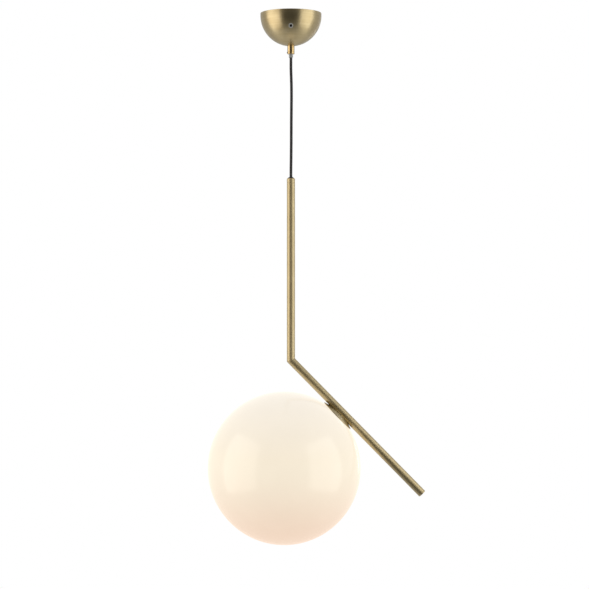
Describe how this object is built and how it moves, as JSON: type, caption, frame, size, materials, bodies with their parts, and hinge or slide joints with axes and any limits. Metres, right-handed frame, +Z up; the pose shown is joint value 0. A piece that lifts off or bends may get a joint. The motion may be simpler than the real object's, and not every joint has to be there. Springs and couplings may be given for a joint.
{
  "type": "pendant ceiling light",
  "caption": "Pendant light: half-ball ceiling canopy, cord and a bent tube with an opal glass globe hung beside its sloping arm.",
  "frame": {"origin": "on the ceiling plane, midway between the bracket's two fixing slots, on the canopy's axis", "axes": "+Z up to the ceiling; the arm leans down towards +X; the canopy's side screws face -Y and +Y"},
  "size_m": [0.4265, 0.3, 1.0434],
  "materials": {
    "satin_brass": "satin, brushed",
    "polished_brass": "polished",
    "bright_steel": "bright",
    "zinc_steel": "zinc plated",
    "black_steel": "black oxide",
    "nickel": "nickel plated",
    "clear_plastic": "clear, glossy",
    "cord_sheath": "matt",
    "brown_insulation": "smooth",
    "blue_insulation": "smooth",
    "earth_insulation": "smooth, green with a yellow stripe",
    "white_plastic": "moulded",
    "black_plastic": "moulded",
    "black_phenolic": "moulded, semi-gloss",
    "glazed_ceramic": "glazed",
    "opal_glass": "opal, gloss",
    "ring_aluminium": "turned",
    "frosted_glass": "frosted"
  },
  "bodies": {
    "ceiling": {"ceiling_bracket": "zinc_steel"},
    "canopy": {"canopy": "satin_brass", "canopy_bushes": "bright_steel", "canopy_grub_screws": "black_steel", "gland_collar": "polished_brass", "gland_washer": "bright_steel", "gland_nut": "polished_brass", "gland_set_screw": "bright_steel", "gland_sleeve": "clear_plastic", "earth_tag": "polished_brass", "cord_top": "cord_sheath", "core_live": "brown_insulation", "core_neutral": "blue_insulation", "core_earth": "earth_insulation", "earth_lead": "earth_insulation", "terminal_block": "white_plastic", "terminal_screws": "bright_steel"},
    "cord_neck": {"cord_neck": "cord_sheath"},
    "cord": {"cord": "cord_sheath"},
    "pendant": {"cord_bottom": "cord_sheath", "stem_bush": "black_plastic", "stem_cap": "satin_brass", "cord_stop": "polished_brass", "stem_tube": "satin_brass", "arm_tube": "satin_brass", "arm_end_cap": "satin_brass", "lead_live": "brown_insulation", "lead_neutral": "blue_insulation", "lead_earth": "earth_insulation", "fitter_cap": "satin_brass", "nipple": "polished_brass", "nipple_nuts": "polished_brass", "clip_plate": "zinc_steel", "globe_clips": "bright_steel", "lampholder_cap": "black_phenolic", "lampholder_sleeve": "black_phenolic", "lampholder_base": "glazed_ceramic", "lampholder_shell": "polished_brass", "centre_contact": "polished_brass"},
    "globe": {"globe_glass": "opal_glass", "globe_ring": "ring_aluminium"},
    "lamp": {"lamp_cap": "nickel", "lamp_contact": "black_phenolic", "lamp_bulb": "frosted_glass"}
  },
  "joints": [
    {"name": "canopy_drop", "type": "slide", "parent": "ceiling", "child": "canopy", "axis": [0, 0, -1], "range_m": [0, 0.06]},
    {"name": "swing_front", "type": "hinge", "parent": "canopy", "child": "cord_neck", "pos_m": [0, 0, -0.093], "axis": [1, 0, 0], "range_deg": [-20, 20]},
    {"name": "swing_side", "type": "hinge", "parent": "cord_neck", "child": "cord", "pos_m": [0, 0, -0.105], "axis": [0, 1, 0], "range_deg": [-20, 20]},
    {"name": "cord_twist", "type": "hinge", "parent": "cord", "child": "pendant", "pos_m": [0, 0, -0.32435], "axis": [0, 0, 1], "range_deg": [-180, 180]},
    {"name": "globe_off", "type": "slide", "parent": "pendant", "child": "globe", "axis": [-0.7133, 0, -0.7009], "range_m": [0, 0.15]},
    {"name": "lamp_turn", "type": "hinge", "parent": "pendant", "child": "lamp", "pos_m": [0.02963, 0, -0.85132], "axis": [-0.7133, 0, -0.7009], "range_deg": [0, 1080]}
  ]
}
